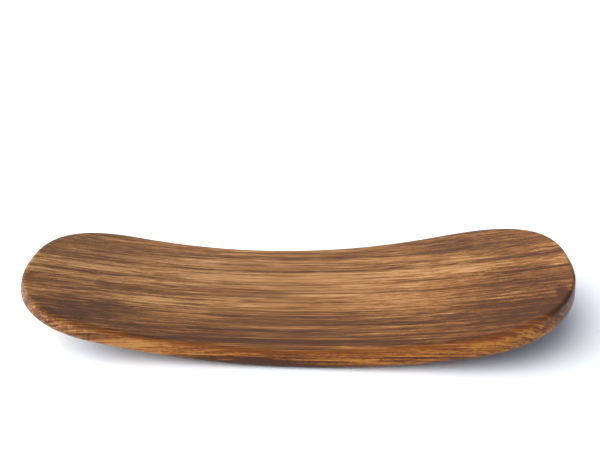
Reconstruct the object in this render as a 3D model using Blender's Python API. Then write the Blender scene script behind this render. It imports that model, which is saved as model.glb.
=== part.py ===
"""Bowed hardwood transfer board: one solid plank with rounded ends that sweep up from a flat on its belly.

Metres, +X along the board, +Y across it, +Z up. It rests on the flat of its belly at Z = 0.
"""

import math

import bmesh
import bpy
from mathutils import Vector

LENGTH = 0.600  # along the middle of the thickness, tip to tip in plan
WIDTH = 0.221  # at mid length
THICKNESS = 0.0246  # at mid length
THICKNESS_TAPER = 0.15  # share by which the +X tip is thicker than mid length, and the -X tip thinner
RISE = 0.0493  # of each tip over the middle
TAPER = 0.088  # share by which the +X tip is wider than mid length, and the -X tip narrower
NARROW_END_REACH = 0.102  # length over which the -X end rounds off
WIDE_END_REACH = 0.135  # the same at the +X end
END_POWER = 2.5  # 2 is an ellipse, and more is squarer
WIDE_END_LEAN = 0.3  # 1 keeps the +X end face square to the bend, as at the -X end, and 0 makes it upright
TOP_ROUND = 0.0045  # radius of the upper edge
BELLY_ROUND = 0.010  # radius of the lower edge
FLAT_DEPTH = 0.001  # planed off the lowest part of the belly, so that the board stands

END_STEPS = 24  # points on a quarter of each rounded end
SIDE_STEPS = 26  # points along each long side
TOP_ROUND_STEPS = 4
BELLY_ROUND_STEPS = 6
SHARP_ANGLE = math.radians(30)


def clear_scene():
    for obj in list(bpy.data.objects):
        bpy.data.objects.remove(obj, do_unlink=True)
    for collection in list(bpy.data.collections):
        bpy.data.collections.remove(collection)


def wood():
    material = bpy.data.materials.new("oiled_wood")
    material.use_nodes = True
    shader = material.node_tree.nodes["Principled BSDF"]
    shader.inputs["Base Color"].default_value = (0.305, 0.150, 0.070, 1.0)
    shader.inputs["Roughness"].default_value = 0.45
    shader.inputs["Metallic"].default_value = 0.0
    return material


def end_outline(reach):
    """(x, share of the half width) from a tip to where the long side starts, for the end on +X."""
    points = []
    for step in range(END_STEPS):
        angle = 0.5 * math.pi * step / END_STEPS
        x = LENGTH / 2 - reach + reach * math.cos(angle) ** (2 / END_POWER)
        points.append((x, math.sin(angle) ** (2 / END_POWER)))
    return points


def side_outline():
    """(x, half width) from the +X tip to the -X tip, along one long side."""
    start, stop = LENGTH / 2 - WIDE_END_REACH, NARROW_END_REACH - LENGTH / 2
    side = [(start + (stop - start) * step / SIDE_STEPS, 1.0) for step in range(SIDE_STEPS + 1)]
    narrow_end = [(-x, share) for x, share in reversed(end_outline(NARROW_END_REACH))]
    points = end_outline(WIDE_END_REACH) + side + narrow_end
    return [(x, WIDTH / 2 * share * (1 + TAPER * 2 * x / LENGTH)) for x, share in points]


def flat_plank(bm):
    """The plank before it is bowed, centred on its own middle, with its upper and lower edges rounded."""
    side = side_outline()
    ring = side + [(x, -half) for x, half in reversed(side[1:-1])]
    verts = [bm.verts.new((x, y, -THICKNESS / 2)) for x, y in ring]
    belly = bm.faces.new(verts)
    made = bmesh.ops.extrude_face_region(bm, geom=[belly])["geom"]
    bmesh.ops.translate(
        bm, verts=[item for item in made if isinstance(item, bmesh.types.BMVert)], vec=(0, 0, THICKNESS)
    )
    bmesh.ops.recalc_face_normals(bm, faces=bm.faces)
    for level, radius, segments in ((1, TOP_ROUND, TOP_ROUND_STEPS), (-1, BELLY_ROUND, BELLY_ROUND_STEPS)):
        rim = [edge for edge in bm.edges if all(vert.co.z * level > THICKNESS * 0.49 for vert in edge.verts)]
        bmesh.ops.bevel(
            bm, geom=rim, offset=radius, offset_type="OFFSET", segments=segments, profile=0.5,
            affect="EDGES", clamp_overlap=False, material=-1,
        )


def cut_across(bm):
    """Cuts the upper and lower faces into strips that run across the board, so that they can bow."""
    for level in (1, -1):
        verts = [vert for vert in bm.verts if vert.co.z * level > THICKNESS * 0.499]
        far = sorted((vert for vert in verts if vert.co.y > 1e-6), key=lambda vert: vert.co.x)
        near = sorted((vert for vert in verts if vert.co.y < -1e-6), key=lambda vert: vert.co.x)
        for pair in zip(far, near):
            bmesh.ops.connect_vert_pair(bm, verts=pair)


def bow(bm):
    """Bends the plank up towards both ends; the thickness square to the bend stays the same whatever the lean."""
    for vert in bm.verts:
        x, y, level = vert.co
        level *= 1 + THICKNESS_TAPER * 2 * x / LENGTH
        turn = math.atan(8 * RISE * x / LENGTH**2)
        lean = WIDE_END_LEAN if x > 0 else 1.0
        height = RISE * (2 * x / LENGTH) ** 2
        upright = math.cos(turn) + (1 - lean) * math.sin(turn) * math.tan(turn)
        vert.co = Vector((x - lean * math.sin(turn) * level, y, height + upright * level))


def plane_belly(bm):
    """Planes the flat that the board stands on, and puts it at Z = 0."""
    bmesh.ops.translate(bm, verts=bm.verts, vec=(0, 0, THICKNESS / 2 - FLAT_DEPTH))
    cut = bmesh.ops.bisect_plane(
        bm, geom=bm.verts[:] + bm.edges[:] + bm.faces[:], dist=1e-6, plane_co=(0, 0, 0), plane_no=(0, 0, 1),
        clear_inner=True,
    )["geom_cut"]
    bmesh.ops.holes_fill(bm, edges=[item for item in cut if isinstance(item, bmesh.types.BMEdge)])
    bmesh.ops.recalc_face_normals(bm, faces=bm.faces)


def build_board(collection):
    bm = bmesh.new()
    flat_plank(bm)
    cut_across(bm)
    bow(bm)
    plane_belly(bm)
    mesh = bpy.data.meshes.new("board")
    bm.to_mesh(mesh)
    bm.free()
    mesh.materials.append(wood())
    mesh.shade_smooth()
    mesh.set_sharp_from_angle(angle=SHARP_ANGLE)
    collection.objects.link(bpy.data.objects.new("board", mesh))


def main():
    clear_scene()
    collection = bpy.data.collections.new("transfer_board")
    bpy.context.scene.collection.children.link(collection)
    build_board(collection)


main()
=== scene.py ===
"""A bowed transfer board of oiled hardwood on a plain white sweep, laid out as a Blender add-on.

Metres, +X along the board, +Y across it, +Z up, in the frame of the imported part.
"""

import math

import bmesh
import bpy
from bpy.props import FloatProperty, FloatVectorProperty, IntProperty, PointerProperty
from mathutils import Matrix, Vector


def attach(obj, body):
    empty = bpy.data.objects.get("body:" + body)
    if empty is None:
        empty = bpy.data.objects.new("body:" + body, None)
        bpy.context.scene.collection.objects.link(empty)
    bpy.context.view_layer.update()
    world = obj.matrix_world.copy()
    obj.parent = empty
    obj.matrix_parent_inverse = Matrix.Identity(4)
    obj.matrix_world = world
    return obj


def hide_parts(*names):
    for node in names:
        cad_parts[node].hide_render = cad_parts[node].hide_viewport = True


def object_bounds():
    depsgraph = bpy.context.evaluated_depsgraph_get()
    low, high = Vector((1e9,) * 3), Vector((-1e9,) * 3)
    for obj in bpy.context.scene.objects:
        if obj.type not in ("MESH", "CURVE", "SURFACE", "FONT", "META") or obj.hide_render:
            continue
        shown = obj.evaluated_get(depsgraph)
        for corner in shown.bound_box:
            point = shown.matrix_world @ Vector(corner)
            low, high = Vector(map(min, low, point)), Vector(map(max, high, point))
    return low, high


bl_info = {
    "name": "Bowed transfer board",
    "version": (1, 0, 0),
    "blender": (4, 5, 0),
    "location": "3D View > Sidebar > Board",
    "description": "Adds a bowed, oiled hardwood transfer board and the plain stage that shows it",
    "category": "Add Mesh",
}

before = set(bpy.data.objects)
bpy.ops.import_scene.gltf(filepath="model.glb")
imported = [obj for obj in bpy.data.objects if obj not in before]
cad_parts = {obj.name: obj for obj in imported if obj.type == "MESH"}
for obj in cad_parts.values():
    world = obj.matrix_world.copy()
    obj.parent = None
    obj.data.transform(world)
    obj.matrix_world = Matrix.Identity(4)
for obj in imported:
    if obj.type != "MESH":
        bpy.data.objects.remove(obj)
CAD_LOW, CAD_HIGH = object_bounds()
CAD_LOW, CAD_HIGH = Vector(CAD_LOW), Vector(CAD_HIGH)


# Settings


class BoardSettings(bpy.types.PropertyGroup):
    length: FloatProperty(
        name="Length", description="Tip to tip, along the middle of the thickness",
        default=0.600, min=0.1, unit="LENGTH", subtype="DISTANCE",
    )
    width: FloatProperty(
        name="Width", description="Across the board at mid length",
        default=0.221, min=0.05, unit="LENGTH", subtype="DISTANCE",
    )
    thickness: FloatProperty(
        name="Thickness", description="Of the plank at mid length, square to its upper face",
        default=0.0246, min=0.01, unit="LENGTH", subtype="DISTANCE",
    )
    rise: FloatProperty(
        name="Rise", description="How far each tip stands over the middle",
        default=0.0493, min=0.0, unit="LENGTH", subtype="DISTANCE",
    )
    taper: FloatProperty(
        name="Taper", description="Share by which the +X tip is wider than mid length",
        default=0.088, min=-0.5, max=0.5,
    )
    thickness_taper: FloatProperty(
        name="Thickness taper", description="Share by which the +X tip is thicker than mid length",
        default=0.15, min=-0.5, max=0.5,
    )
    narrow_end: FloatProperty(
        name="Narrow end", description="Length over which the -X end rounds off",
        default=0.102, min=0.02, unit="LENGTH", subtype="DISTANCE",
    )
    wide_end: FloatProperty(
        name="Wide end", description="Length over which the +X end rounds off",
        default=0.135, min=0.02, unit="LENGTH", subtype="DISTANCE",
    )
    wide_end_lean: FloatProperty(
        name="Wide end lean",
        description="1 keeps the +X end face square to the bend, and 0 makes it upright",
        default=0.3, min=-2.0, max=2.0,
    )
    end_power: FloatProperty(
        name="End squareness", description="2 makes each end an ellipse, and more makes it squarer",
        default=2.5, min=1.5, max=8.0,
    )
    top_round: FloatProperty(
        name="Upper edge radius", description="Rounding between the upper face and the side",
        default=0.0045, min=0.001, unit="LENGTH", subtype="DISTANCE",
    )
    belly_round: FloatProperty(
        name="Lower edge radius", description="Rounding between the side and the belly",
        default=0.010, min=0.001, unit="LENGTH", subtype="DISTANCE",
    )
    flat_depth: FloatProperty(
        name="Flat depth",
        description="Wood planed off the lowest part of the belly, so that the board stands",
        default=0.001, min=0.0002, unit="LENGTH", subtype="DISTANCE",
    )
    end_steps: IntProperty(
        name="End steps", description="Points on a quarter of each rounded end", default=56, min=8,
    )
    side_steps: IntProperty(
        name="Side steps", description="Points along each straight side", default=64, min=8,
    )
    across_steps: IntProperty(name="Steps across", description="Faces across the board", default=12, min=2)


class WoodSettings(bpy.types.PropertyGroup):
    heartwood: FloatVectorProperty(
        name="Heartwood", description="Darkest streaks",
        subtype="COLOR", size=3, default=(0.060, 0.019, 0.005),
    )
    brown: FloatVectorProperty(
        name="Brown", description="Common dark wood",
        subtype="COLOR", size=3, default=(0.150, 0.051, 0.010),
    )
    tan: FloatVectorProperty(
        name="Tan", description="Common light wood",
        subtype="COLOR", size=3, default=(0.250, 0.098, 0.018),
    )
    honey: FloatVectorProperty(
        name="Honey", description="Lightest streaks",
        subtype="COLOR", size=3, default=(0.450, 0.232, 0.090),
    )
    # Painted shade on the rounded upper edge. It is darker and a deeper orange than the wood, and stands in
    # for the sheen and light that the edge loses.
    arris_painted_shade: FloatVectorProperty(
        name="Arris", description="Painted shade on the rounded upper edge, where it loses its sheen",
        subtype="COLOR", size=3, default=(0.165, 0.045, 0.005),
    )
    # Painted shade at the +X end, where the rounded edge faces away from the key light.
    wide_end_arris_painted_shade: FloatVectorProperty(
        name="Wide end arris", description="The same at the +X end, where it is nearly black",
        subtype="COLOR", size=3, default=(0.030, 0.012, 0.006),
    )
    slant: FloatProperty(
        name="Layer slant", description="How steeply the growth layers dip: rise over run, seen from an end",
        default=0.78, min=0.0, max=4.0,
    )
    roughness: FloatProperty(
        name="Roughness", description="Of the oiled surface", default=0.42, min=0.05, max=1.0,
    )


# Shader node helpers


def new_node(tree, kind, **properties):
    node = tree.nodes.new(kind)
    for name, value in properties.items():
        setattr(node, name, value)
    return node


def wire(tree, node, **inputs):
    """Sets or links inputs. Base_Color names the socket Base Color, and in0 is the first socket."""
    for key, value in inputs.items():
        by_place = key[:2] == "in" and key[2:].isdigit()
        socket = node.inputs[int(key[2:])] if by_place else node.inputs[key.replace("_", " ")]
        if isinstance(value, bpy.types.NodeSocket):
            tree.links.new(value, socket)
        else:
            socket.default_value = value
    return node


def maths(tree, operation, a, b=0.0, c=0.0, clamp=False):
    node = new_node(tree, "ShaderNodeMath", operation=operation, use_clamp=clamp)
    wire(tree, node, in0=a, in1=b)
    if operation == "MULTIPLY_ADD":
        wire(tree, node, in2=c)
    return node.outputs[0]


def shifted(tree, tone, value, middle, amount):
    """The tone, moved by amount for each unit that the value lies over its middle."""
    return maths(tree, "MULTIPLY_ADD", maths(tree, "SUBTRACT", value, middle), amount, tone)


def combine(tree, x, y, z):
    return wire(tree, new_node(tree, "ShaderNodeCombineXYZ"), X=x, Y=y, Z=z).outputs[0]


def mixed(tree, factor, first, second, blend_type="MIX"):
    """One colour mixed or multiplied into another."""
    node = new_node(tree, "ShaderNodeMix", data_type="RGBA", blend_type=blend_type)
    return wire(tree, node, in0=factor, in6=first, in7=second).outputs[2]


def spread(tree, value, low, high, to_low=0.0, to_high=1.0, smooth=False):
    """The value taken from one range to another, straight or along a soft S."""
    node = new_node(tree, "ShaderNodeMapRange", interpolation_type="SMOOTHSTEP" if smooth else "LINEAR")
    wire(tree, node, in0=value, in1=low, in2=high, in3=to_low, in4=to_high)
    return node.outputs[0]


def ramp(tree, value, stops):
    """A colour ramp over (position, grey or colour) stops."""
    node = new_node(tree, "ShaderNodeValToRGB")
    wire(tree, node, Fac=value)
    elements = node.color_ramp.elements
    for index, (position, _) in enumerate(stops):
        element = elements[index] if index < 2 else elements.new(position)
        element.position = position
    for element, (_, colour) in zip(elements, stops):
        element.color = (colour, colour, colour, 1.0) if isinstance(colour, float) else (*colour, 1.0)
    return node.outputs[0]


def stretched(tree, along, layer, through, scales, detail=2.0, roughness=0.5, distortion=0.0):
    """Noise with its own scale each way, in cycles per metre: along, across the layers and within one."""
    node = new_node(tree, "ShaderNodeTexNoise", noise_dimensions="3D")
    scaled = [maths(tree, "MULTIPLY", value, scale) for value, scale in zip((along, layer, through), scales)]
    wire(
        tree, node, Vector=combine(tree, *scaled), Scale=1.0, Detail=detail, Roughness=roughness,
        Distortion=distortion,
    )
    return node.outputs["Fac"]


def contour(tree, value, middle, width):
    """Thin lines where a noise crosses its middle: 1 on the line and 0 at that width from it."""
    distance = maths(tree, "ABSOLUTE", maths(tree, "SUBTRACT", value, middle))
    return spread(tree, distance, width, 0.0, smooth=True)


def new_group(name, inputs, outputs):
    """(group, input node, output node), for (name, socket type, default) inputs and the outputs' names."""
    group = bpy.data.node_groups.new(name, "ShaderNodeTree")
    for label, kind, default in inputs:
        socket = group.interface.new_socket(name=label, in_out="INPUT", socket_type=kind)
        if default is not None:
            socket.default_value = default
    for label in outputs:
        group.interface.new_socket(name=label, in_out="OUTPUT", socket_type=FLOAT)
    return group, group.nodes.new("NodeGroupInput"), group.nodes.new("NodeGroupOutput")


def place(tree, group, **inputs):
    return wire(tree, new_node(tree, "ShaderNodeGroup", node_tree=group), **inputs)


# The wood

FLOAT, VECTOR = "NodeSocketFloat", "NodeSocketVector"

LAYER_LEVEL = 0.0236  # height at which the growth layers' places are measured across the board

# Tone of the wood from dark to light, as (metres across the growth layers, tone).
LAYER_TONES = (
    (-0.126, 0.40), (-0.108, 0.34), (-0.101, 0.12), (-0.094, 0.10), (-0.083, 0.26), (-0.0755, 0.24),
    (-0.0735, 0.02), (-0.0715, 0.44), (-0.060, 0.36), (-0.050, 0.46), (-0.044, 0.40), (-0.030, 0.64),
    (-0.014, 0.63), (-0.005, 0.48), (0.004, 0.56), (0.014, 0.76), (0.0178, 1.00), (0.0202, 0.26),
    (0.0235, 0.64), (0.032, 0.92), (0.046, 0.88), (0.0525, 0.20), (0.0560, 0.48), (0.062, 0.66),
    (0.085, 0.52), (0.120, 0.48),
)

# The same up the side of the board, as (metres over the floor, tone).
SIDE_TONES = (
    (0.000, 0.16), (0.007, 0.12), (0.0115, 0.26), (0.0140, 0.30), (0.0156, 0.92), (0.0172, 0.44),
    (0.0190, 0.74), (0.0206, 0.40), (0.0240, 0.52), (0.0300, 0.74), (0.0400, 0.82), (0.0560, 0.66),
    (0.0740, 0.50),
)

# Patches of lighter or darker tone, mostly in the wood's figure: (middle, half size, change of tone). The
# last three are painted shade.
PATCHES = (
    # Darker at the near corner of the -X end.
    ((-0.215, -0.070, 0.045), (0.075, 0.040, 0.040), -0.22),
    ((-0.150, -0.034, 0.036), (0.040, 0.009, 0.030), 0.30),
    ((0.055, 0.088, 0.025), (0.045, 0.014, 0.030), -0.22),
    ((0.130, 0.045, 0.030), (0.060, 0.012, 0.030), 0.16),
    ((0.100, -0.060, 0.030), (0.050, 0.015, 0.030), -0.16),
    ((0.235, -0.040, 0.055), (0.130, 0.110, 0.060), -0.34),
    ((0.160, 0.090, 0.045), (0.120, 0.040, 0.040), -0.16),
    ((-0.015, -0.112, 0.006), (0.120, 0.022, 0.016), -0.50),
    ((-0.165, -0.104, 0.022), (0.070, 0.022, 0.018), 0.42),
    ((0.200, -0.112, 0.034), (0.040, 0.030, 0.014), 0.20),
    # Painted shade: a near-black streak by the rim of the +X tip, where the edge faces away from the key
    # light.
    ((0.252, -0.098, 0.046), (0.008, 0.012, 0.006), -0.60),
    ((0.263, -0.092, 0.062), (0.011, 0.013, 0.009), -0.90),
    ((0.277, -0.068, 0.066), (0.010, 0.019, 0.009), -0.90),
)

# How far each kind of streak moves the tone either way, and how far each kind of line moves it.
STREAK_CONTRASTS = (("Coarse", 0.36), ("Medium", 0.66), ("Fine", 0.80), ("Fibre", 0.44))
LINE_TONES = (("Veins", -0.52), ("Gleams", 0.42), ("Hairlines", -0.34))
PORE_TONE = -0.14
SPECKLE_CONTRAST = 1.1
END_GRAIN_CONTRAST = 1.3
SWEPT_END_TONE = -0.14

# Tint multiplied into the colour of the side, from the -X end to the +X end: pale at -X, deep orange towards
# +X.
SIDE_TINT_REACH = 0.3
SIDE_TINTS = (
    (0.05, (0.86, 0.78, 0.62)),
    (0.25, (0.96, 0.78, 0.42)),
    (0.45, (0.86, 0.62, 0.14)),
    (0.9, (0.94, 0.72, 0.16)),
)


def growth_layers_group():
    """Where a point lies among the growth layers, in metres: across them, along the grain, and within one."""
    group, given, result = new_group(
        "Growth layers",
        [("Position", VECTOR, None), ("Slant", FLOAT, 0.78),
         ("Wander", FLOAT, 0.004), ("Ripple", FLOAT, 0.0016)],
        ["Layer", "Along", "Through"],
    )
    part = wire(group, new_node(group, "ShaderNodeSeparateXYZ"), in0=given.outputs["Position"]).outputs
    slant = given.outputs["Slant"]
    dip = maths(group, "MULTIPLY_ADD", part["Z"], slant, part["Y"])
    through = maths(group, "SUBTRACT", part["Z"], maths(group, "MULTIPLY", part["Y"], slant))
    slow = stretched(group, part["X"], dip, through, (5.0, 9.0, 9.0), detail=1.0)
    quick = stretched(group, part["X"], dip, through, (13.0, 55.0, 40.0))
    moved = shifted(group, dip, slow, 0.5, given.outputs["Wander"])
    moved = shifted(group, moved, quick, 0.5, given.outputs["Ripple"])
    group.links.new(moved, result.inputs["Layer"])
    group.links.new(part["X"], result.inputs["Along"])
    group.links.new(through, result.inputs["Through"])
    return group


def streaks_group():
    """Irregular marks along the grain, from 0 to 1. Veins, Hairlines and Pores are dark, and Gleams light."""
    group, given, result = new_group(
        "Streaks",
        [("Layer", FLOAT, 0.0), ("Along", FLOAT, 0.0), ("Through", FLOAT, 0.0)],
        ["Coarse", "Medium", "Fine", "Fibre", "Veins", "Gleams", "Hairlines", "Pores"],
    )
    in_wood = [given.outputs[name] for name in ("Along", "Layer", "Through")]
    coarse = stretched(group, *in_wood, (1.6, 130.0, 12.0))
    medium = stretched(group, *in_wood, (2.4, 330.0, 34.0), detail=3.0, roughness=0.65)
    fine = stretched(group, *in_wood, (11.0, 800.0, 160.0), roughness=0.65)
    fibre = stretched(group, *in_wood, (50.0, 2000.0, 900.0), detail=1.0, roughness=0.6)
    vein = stretched(group, *in_wood, (2.5, 150.0, 16.0), detail=1.0)
    gleam = stretched(group, *in_wood, (3.5, 190.0, 20.0), detail=1.0)
    hair = stretched(group, *in_wood, (3.0, 400.0, 44.0), detail=1.0)
    broken = stretched(group, *in_wood, (14.0, 60.0, 20.0), detail=1.0)
    pores = stretched(group, *in_wood, (70.0, 1300.0, 900.0), detail=0.0)
    vein_runs = spread(group, broken, 0.42, 0.62, smooth=True)
    gleam_runs = spread(group, broken, 0.56, 0.38, smooth=True)
    hair_runs = spread(group, medium, 0.66, 0.46, smooth=True)
    for name, value in (
        ("Coarse", spread(group, coarse, 0.30, 0.70)),
        ("Medium", spread(group, medium, 0.30, 0.70)),
        ("Fine", spread(group, fine, 0.28, 0.72)),
        ("Fibre", spread(group, fibre, 0.25, 0.75)),
        ("Veins", maths(group, "MULTIPLY", contour(group, vein, 0.50, 0.030), vein_runs)),
        ("Gleams", maths(group, "MULTIPLY", contour(group, gleam, 0.52, 0.035), gleam_runs)),
        ("Hairlines", maths(group, "MULTIPLY", contour(group, hair, 0.50, 0.045), hair_runs)),
        ("Pores", spread(group, pores, 0.66, 0.74)),
    ):
        group.links.new(value, result.inputs[name])
    return group


def patch(tree, position, middle, size):
    """1 in the middle of an ellipsoid and 0 outside it."""
    inside = new_node(tree, "ShaderNodeMapping", vector_type="POINT")
    wire(
        tree, inside, Vector=position, Scale=[1 / half for half in size],
        Location=[-at / half for at, half in zip(middle, size)],
    )
    reach = wire(tree, new_node(tree, "ShaderNodeVectorMath", operation="LENGTH"), in0=inside.outputs[0])
    return spread(tree, reach.outputs["Value"], 1.0, 0.15, smooth=True)


def tone_ramp(tree, value, tones):
    low, high = tones[0][0], tones[-1][0]
    stops = [((at - low) / (high - low), tone) for at, tone in tones]
    return ramp(tree, spread(tree, value, low, high), stops)


def banded_tone(tree, position, layer, depth, side):
    """Broad tone of the wood: layers on the upper face and the belly, and bands by height on the side."""
    part = wire(tree, new_node(tree, "ShaderNodeSeparateXYZ"), in0=position).outputs
    waver = stretched(tree, part["X"], part["Y"], part["Z"], (8.0, 20.0, 90.0), detail=1.0)
    height = shifted(tree, part["Z"], waver, 0.5, 0.022)
    above_belly = spread(tree, depth, 0.0245, 0.0232, smooth=True)
    upright = maths(tree, "MULTIPLY", side, above_belly)
    face_tone = tone_ramp(tree, layer, LAYER_TONES)
    side_tone = tone_ramp(tree, height, SIDE_TONES)
    blend = new_node(tree, "ShaderNodeMix", data_type="FLOAT")
    tone = wire(tree, blend, in0=upright, in2=face_tone, in3=side_tone).outputs[0]
    for middle, size, change in PATCHES:
        tone = maths(tree, "MULTIPLY_ADD", patch(tree, position, middle, size), change, tone)
    swept_ends = spread(tree, maths(tree, "ABSOLUTE", part["X"]), 0.12, 0.28, smooth=True)
    return maths(tree, "MULTIPLY_ADD", swept_ends, SWEPT_END_TONE, tone)


def streaked_tone(tree, tone, part, streaks, side, speckle):
    """The broad tone with its streaks and lines, and with end grain on the side of the -X end."""
    for name, contrast in STREAK_CONTRASTS:
        tone = shifted(tree, tone, streaks[name], 0.5, contrast)
    tone = shifted(tree, tone, speckle, 0.5, maths(tree, "MULTIPLY", side, SPECKLE_CONTRAST))
    for name, change in LINE_TONES:
        tone = maths(tree, "MULTIPLY_ADD", streaks[name], change, tone)
    hatch = stretched(tree, part["X"], part["Y"], part["Z"], (210.0, 260.0, 70.0), distortion=0.8)
    end_grain = maths(tree, "MULTIPLY", side, spread(tree, part["X"], -0.175, -0.225, smooth=True))
    tone = shifted(tree, tone, hatch, 0.53, maths(tree, "MULTIPLY", end_grain, END_GRAIN_CONTRAST))
    return maths(tree, "MULTIPLY_ADD", streaks["Pores"], PORE_TONE, tone, clamp=True)


def arris_painted_shade_mask(tree, x, depth, streaks, speckle):
    """Painted shade: the ragged dark band just under the upper face, where the rounded edge turns from the
    light and loses its sheen. It fades out towards the -X end.
    """
    ragged = shifted(tree, depth, streaks["Medium"], 0.5, 0.0016)
    starts = spread(tree, ragged, 0.0002, 0.0014, smooth=True)
    stops = spread(tree, ragged, 0.0080, 0.0030, smooth=True)
    strength = spread(tree, x, -0.245, -0.175, 0.10, 0.80, smooth=True)
    texture = maths(tree, "MULTIPLY", maths(tree, "ADD", speckle, streaks["Fine"]), 0.5)
    mottle = spread(tree, texture, 0.72, 0.32, 0.30, 1.0)
    band = maths(tree, "MULTIPLY", starts, stops)
    return maths(tree, "MULTIPLY", band, maths(tree, "MULTIPLY", strength, mottle))


def oiled_wood(wood):
    material = bpy.data.materials.new("oiled_wood")
    material.use_nodes = True
    tree = material.node_tree
    shader = tree.nodes["Principled BSDF"]
    position = new_node(tree, "ShaderNodeTexCoord").outputs["Object"]
    depth = new_node(tree, "ShaderNodeAttribute", attribute_name="depth").outputs["Fac"]
    part = wire(tree, new_node(tree, "ShaderNodeSeparateXYZ"), in0=position).outputs
    centred = new_node(tree, "ShaderNodeMapping", vector_type="POINT")
    wire(tree, centred, Vector=position, Location=(0.0, 0.0, -LAYER_LEVEL))
    layers = place(tree, growth_layers_group(), Position=centred.outputs[0], Slant=wood.slant).outputs
    in_wood = {name: layers[name] for name in ("Layer", "Along", "Through")}
    streaks = place(tree, streaks_group(), **in_wood).outputs
    side = spread(tree, depth, 0.0005, 0.0050, smooth=True)
    speckle = stretched(tree, part["X"], part["Y"], part["Z"], (180.0, 260.0, 420.0), roughness=0.65)

    tone = banded_tone(tree, position, layers["Layer"], depth, side)
    tone = streaked_tone(tree, tone, part, streaks, side, speckle)
    stops = ((0.0, wood.heartwood), (0.33, wood.brown), (0.62, wood.tan), (1.0, wood.honey))
    colour = ramp(tree, tone, [(at, tuple(shade)) for at, shade in stops])
    # Painted shade on the rounded upper edge, nearly black at the +X end.
    wide_end = spread(tree, part["X"], 0.240, 0.268, smooth=True)
    arris_painted_shade_colour = mixed(tree, wide_end, (*wood.arris_painted_shade, 1.0), (*wood.wide_end_arris_painted_shade, 1.0))
    colour = mixed(tree, arris_painted_shade_mask(tree, part["X"], depth, streaks, speckle), colour, arris_painted_shade_colour)
    side_tint = ramp(tree, spread(tree, part["X"], -SIDE_TINT_REACH, SIDE_TINT_REACH), SIDE_TINTS)
    tree.links.new(mixed(tree, side, colour, side_tint, "MULTIPLY"), shader.inputs["Base Color"])

    rough = shifted(tree, wood.roughness, streaks["Fibre"], 0.5, 0.10)
    rough = maths(tree, "MULTIPLY_ADD", streaks["Pores"], 0.2, rough)
    tree.links.new(rough, shader.inputs["Roughness"])
    shader.inputs["Specular IOR Level"].default_value = 0.25
    grooves = maths(tree, "MULTIPLY", streaks["Fine"], 0.6)
    relief = maths(tree, "MULTIPLY_ADD", streaks["Pores"], -1.0, grooves)
    bump = wire(tree, new_node(tree, "ShaderNodeBump"), Strength=0.3, Distance=0.0003, Height=relief)
    tree.links.new(bump.outputs[0], shader.inputs["Normal"])
    return material


# The board

TOP_ROUND_STEPS = 8
BELLY_ROUND_STEPS = 12
RIM_STRIP = 0.0012  # narrow ring of faces that keeps the flat faces' shading off the rounded edges
SHARP_ANGLE = math.radians(35)


def end_outline(board, reach):
    """(x, share of the half width) from a tip to where the long side starts, for the end on +X."""
    points = []
    for step in range(board.end_steps):
        angle = 0.5 * math.pi * step / board.end_steps
        x = board.length / 2 - reach + reach * math.cos(angle) ** (2 / board.end_power)
        points.append((x, math.sin(angle) ** (2 / board.end_power)))
    return points


def side_outline(board):
    """(x, half width) from the +X tip to the -X tip, along one long side."""
    start, stop = board.length / 2 - board.wide_end, board.narrow_end - board.length / 2
    side = [(start + (stop - start) * step / board.side_steps, 1.0) for step in range(board.side_steps + 1)]
    narrow_end = [(-x, share) for x, share in reversed(end_outline(board, board.narrow_end))]
    points = end_outline(board, board.wide_end) + side + narrow_end
    return [(x, board.width / 2 * share * (1 + board.taper * 2 * x / board.length)) for x, share in points]


def flat_plank(bm, board):
    """The plank before it is bowed, centred on its own middle, with its upper and lower edges rounded."""
    half = board.thickness / 2
    side = side_outline(board)
    ring = side + [(x, -y) for x, y in reversed(side[1:-1])]
    belly = bm.faces.new([bm.verts.new((x, y, -half)) for x, y in ring])
    made = bmesh.ops.extrude_face_region(bm, geom=[belly])["geom"]
    bmesh.ops.translate(
        bm, verts=[item for item in made if isinstance(item, bmesh.types.BMVert)], vec=(0, 0, board.thickness)
    )
    bmesh.ops.recalc_face_normals(bm, faces=bm.faces)
    edges = ((1, board.top_round, TOP_ROUND_STEPS), (-1, board.belly_round, BELLY_ROUND_STEPS))
    for level, radius, segments in edges:
        rim = [edge for edge in bm.edges if all(vert.co.z * level > half * 0.98 for vert in edge.verts)]
        bmesh.ops.bevel(
            bm, geom=rim, offset=radius, offset_type="OFFSET", segments=segments, profile=0.5,
            affect="EDGES", clamp_overlap=False, material=-1,
        )
        cap = max(bm.faces, key=lambda face: face.calc_center_median().z * level + face.calc_area())
        bmesh.ops.inset_region(bm, faces=[cap], thickness=RIM_STRIP, use_even_offset=True)


def cut_across(bm, board):
    """Cuts the upper and lower faces into strips across the board, and the strips into short faces."""
    for level in (1, -1):
        facing = [face for face in bm.faces if face.calc_center_median().z * level > 0]
        cap = max(facing, key=lambda face: face.calc_area())
        far = sorted((vert for vert in cap.verts if vert.co.y > 1e-6), key=lambda vert: vert.co.x)
        near = sorted((vert for vert in cap.verts if vert.co.y < -1e-6), key=lambda vert: vert.co.x)
        across = []
        for pair in zip(far, near):
            across += bmesh.ops.connect_vert_pair(bm, verts=pair)["edges"]
        bmesh.ops.subdivide_edges(bm, edges=across, cuts=board.across_steps - 1, use_grid_fill=True)


def bow(bm, board):
    """Bends the plank, and keeps each point's depth below the upper face for the wood to read."""
    depth = bm.verts.layers.float.new("depth")
    for vert in bm.verts:
        x, y, level = vert.co
        vert[depth] = board.thickness / 2 - level
        lean = board.wide_end_lean if x > 0 else 1.0
        level *= 1 + board.thickness_taper * 2 * x / board.length
        turn = math.atan(8 * board.rise * x / board.length**2)
        height = board.rise * (2 * x / board.length) ** 2
        upright = math.cos(turn) + (1 - lean) * math.sin(turn) * math.tan(turn)
        vert.co = Vector((x - lean * math.sin(turn) * level, y, height + upright * level))


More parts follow.
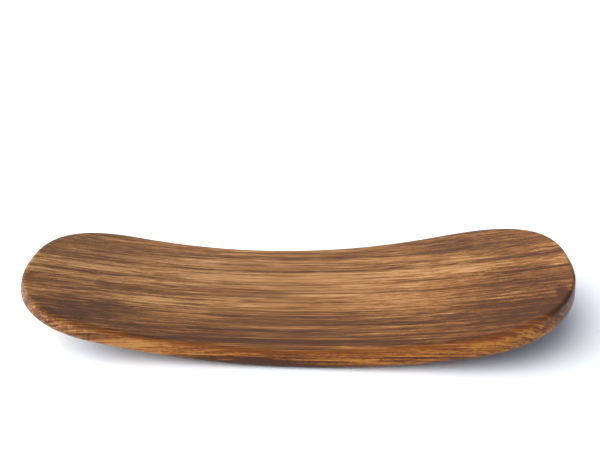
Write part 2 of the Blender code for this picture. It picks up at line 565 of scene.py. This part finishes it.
def plane_belly(bm, board):
    """Planes the flat that the board stands on, and puts it at Z = 0."""
    bmesh.ops.translate(bm, verts=bm.verts, vec=(0, 0, board.thickness / 2 - board.flat_depth))
    cut = bmesh.ops.bisect_plane(
        bm, geom=bm.verts[:] + bm.edges[:] + bm.faces[:], dist=1e-6, plane_co=(0, 0, 0), plane_no=(0, 0, 1),
        clear_inner=True,
    )["geom_cut"]
    bmesh.ops.holes_fill(bm, edges=[item for item in cut if isinstance(item, bmesh.types.BMEdge)])
    bmesh.ops.recalc_face_normals(bm, faces=bm.faces)


class OBJECT_OT_add_board(bpy.types.Operator):
    """Adds the bowed board, carved from one plank"""

    bl_idname = "object.add_bowed_board"
    bl_label = "Add board"

    def execute(self, context):
        board = context.scene.board_settings
        bm = bmesh.new()
        flat_plank(bm, board)
        cut_across(bm, board)
        bow(bm, board)
        plane_belly(bm, board)
        mesh = bpy.data.meshes.new("wood_board")
        bm.to_mesh(mesh)
        bm.free()
        mesh.materials.append(oiled_wood(context.scene.wood_settings))
        mesh.shade_smooth()
        mesh.set_sharp_from_angle(angle=SHARP_ANGLE)
        piece = bpy.data.objects.new("wood_board", mesh)
        context.scene.collection.objects.link(piece)
        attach(piece, "root")
        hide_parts("board")
        return {"FINISHED"}


# The stage


class StageSettings(bpy.types.PropertyGroup):
    azimuth: FloatProperty(
        name="Azimuth", description="Of the camera, round the board",
        default=math.radians(3.066), subtype="ANGLE",
    )
    elevation: FloatProperty(
        name="Elevation", description="Of the camera over the board",
        default=math.radians(31.46), subtype="ANGLE",
    )
    distance: FloatProperty(
        name="Distance", description="From the middle of the board to the camera",
        default=0.8944, unit="LENGTH",
    )
    pan: FloatProperty(
        name="Pan", description="Turn of the aim off the board",
        default=math.radians(-0.4427), subtype="ANGLE",
    )
    tilt: FloatProperty(
        name="Tilt", description="Lift of the aim off the board",
        default=math.radians(-5.759), subtype="ANGLE",
    )
    roll: FloatProperty(
        name="Roll", description="Turn about the line of sight",
        default=math.radians(1.0), subtype="ANGLE",
    )
    lens: FloatProperty(
        name="Lens", description="Focal length in millimetres on a 36 mm sensor", default=46.8,
    )


FLOOR_HALF_SIDE = 6.0
SENSOR_WIDTH = 36.0
KEY_FROM = (-0.64, -0.30, 0.71)
KEY_ANGLE = math.radians(75)  # wide, so that the shadow is soft
KEY_STRENGTH = 4.8
KEY_COLOUR = (1.0, 0.97, 0.93)
WINDOW_AT = (-2.2, 0.4, 1.1)
WINDOW_AIM = (-0.25, -0.08, 0.05)
WINDOW_SIDE = 0.6
WINDOW_POWER = 18.0
WINDOW_COLOUR = (0.8, 0.88, 1.0)
ROOM_COLOUR = (0.19, 0.27, 0.38, 1.0)
SWEEP_COLOUR = (0.85, 0.85, 0.85, 1.0)
SWEEP_TOWARDS = (0.0, 0.9, 0.42)
WHITE = (1.0, 1.0, 1.0, 1.0)


def floor_material():
    material = bpy.data.materials.new("white_sweep")
    material.use_nodes = True
    shader = material.node_tree.nodes["Principled BSDF"]
    shader.inputs["Base Color"].default_value = (0.92, 0.94, 0.96, 1.0)
    shader.inputs["Roughness"].default_value = 0.9
    shader.inputs["Specular IOR Level"].default_value = 0.1
    return material


def add_light(scene, data, colour):
    data.color = colour
    light = bpy.data.objects.new(data.name, data)
    scene.collection.objects.link(light)
    return light


def add_key(scene):
    """A large soft light from the left. Glossy rays don't see it, so it leaves no haze on the edges."""
    data = bpy.data.lights.new("key", "SUN")
    data.angle = KEY_ANGLE
    data.energy = KEY_STRENGTH
    key = add_light(scene, data, KEY_COLOUR)
    key.rotation_euler = Vector(KEY_FROM).to_track_quat("Z", "Y").to_euler()
    key.visible_glossy = False


def add_window(scene):
    """A small cool light that glints on the rim of the -X end."""
    data = bpy.data.lights.new("window", "AREA")
    data.shape = "SQUARE"
    data.size = WINDOW_SIDE
    data.energy = WINDOW_POWER
    window = add_light(scene, data, WINDOW_COLOUR)
    window.location = WINDOW_AT
    window.rotation_euler = (Vector(WINDOW_AIM) - Vector(WINDOW_AT)).to_track_quat("-Z", "Y").to_euler()


def white_world(scene):
    """A dim, cool room with a white sweep behind the board. The camera itself sees plain white."""
    world = bpy.data.worlds.new("white_room")
    world.use_nodes = True
    tree = world.node_tree
    direction = new_node(tree, "ShaderNodeTexCoord").outputs["Generated"]
    facing = new_node(tree, "ShaderNodeVectorMath", operation="DOT_PRODUCT")
    wire(tree, facing, in0=direction, in1=Vector(SWEEP_TOWARDS).normalized())
    sweep = spread(tree, facing.outputs["Value"], 0.60, 0.97, smooth=True)
    seen_by_camera = new_node(tree, "ShaderNodeLightPath").outputs["Is Camera Ray"]
    room = mixed(tree, seen_by_camera, mixed(tree, sweep, ROOM_COLOUR, SWEEP_COLOUR), WHITE)
    tree.links.new(room, tree.nodes["Background"].inputs["Color"])
    scene.world = world


def aim_camera(scene, stage, board):
    """Stands the camera off the middle of the board, and turns its aim by the pan, the tilt and the roll."""
    middle = Vector((0, 0, board.thickness / 2 - board.flat_depth))
    away = Vector((
        math.sin(stage.azimuth) * math.cos(stage.elevation),
        -math.cos(stage.azimuth) * math.cos(stage.elevation),
        math.sin(stage.elevation),
    ))
    pan, tilt = stage.azimuth + stage.pan, stage.elevation + stage.tilt
    back = Vector((math.sin(pan) * math.cos(tilt), -math.cos(pan) * math.cos(tilt), math.sin(tilt)))
    right = Vector((math.cos(pan), math.sin(pan), 0.0))
    up = back.cross(right)
    cos_roll, sin_roll = math.cos(stage.roll), math.sin(stage.roll)
    right, up = cos_roll * right - sin_roll * up, sin_roll * right + cos_roll * up
    data = bpy.data.cameras.new("camera")
    data.lens = stage.lens
    data.sensor_width = SENSOR_WIDTH
    camera = bpy.data.objects.new("camera", data)
    turn = Matrix((right, up, back)).transposed().to_4x4()
    camera.matrix_world = Matrix.Translation(middle + away * stage.distance) @ turn
    scene.collection.objects.link(camera)
    scene.camera = camera


class SCENE_OT_add_stage(bpy.types.Operator):
    """Adds the white floor, the soft lights and the camera"""

    bl_idname = "scene.add_board_stage"
    bl_label = "Add stage"

    def execute(self, context):
        scene = context.scene
        bm = bmesh.new()
        bmesh.ops.create_grid(bm, x_segments=1, y_segments=1, size=FLOOR_HALF_SIDE)
        mesh = bpy.data.meshes.new("floor")
        bm.to_mesh(mesh)
        bm.free()
        mesh.materials.append(floor_material())
        floor = bpy.data.objects.new("floor", mesh)
        scene.collection.objects.link(floor)
        white_world(scene)
        add_key(scene)
        add_window(scene)
        aim_camera(scene, scene.stage_settings, scene.board_settings)
        scene.view_settings.view_transform = "Standard"
        scene.view_settings.look = "None"
        return {"FINISHED"}


class VIEW3D_PT_board(bpy.types.Panel):
    bl_idname = "VIEW3D_PT_board"
    bl_label = "Bowed board"
    bl_space_type = "VIEW_3D"
    bl_region_type = "UI"
    bl_category = "Board"

    def draw(self, context):
        for title, settings in (
            ("Board", context.scene.board_settings),
            ("Wood", context.scene.wood_settings),
            ("Stage", context.scene.stage_settings),
        ):
            box = self.layout.box()
            box.label(text=title)
            for name in settings.bl_rna.properties.keys():
                if name not in ("rna_type", "name"):
                    box.prop(settings, name)
        self.layout.operator(OBJECT_OT_add_board.bl_idname)
        self.layout.operator(SCENE_OT_add_stage.bl_idname)


CLASSES = (
    BoardSettings, WoodSettings, StageSettings, OBJECT_OT_add_board, SCENE_OT_add_stage, VIEW3D_PT_board,
)


def register():
    for each in CLASSES:
        bpy.utils.register_class(each)
    bpy.types.Scene.board_settings = PointerProperty(type=BoardSettings)
    bpy.types.Scene.wood_settings = PointerProperty(type=WoodSettings)
    bpy.types.Scene.stage_settings = PointerProperty(type=StageSettings)


def unregister():
    del bpy.types.Scene.stage_settings
    del bpy.types.Scene.wood_settings
    del bpy.types.Scene.board_settings
    for each in reversed(CLASSES):
        bpy.utils.unregister_class(each)


def main():
    register()
    bpy.ops.object.add_bowed_board()
    bpy.ops.scene.add_board_stage()


if __name__ == "__main__":
    main()
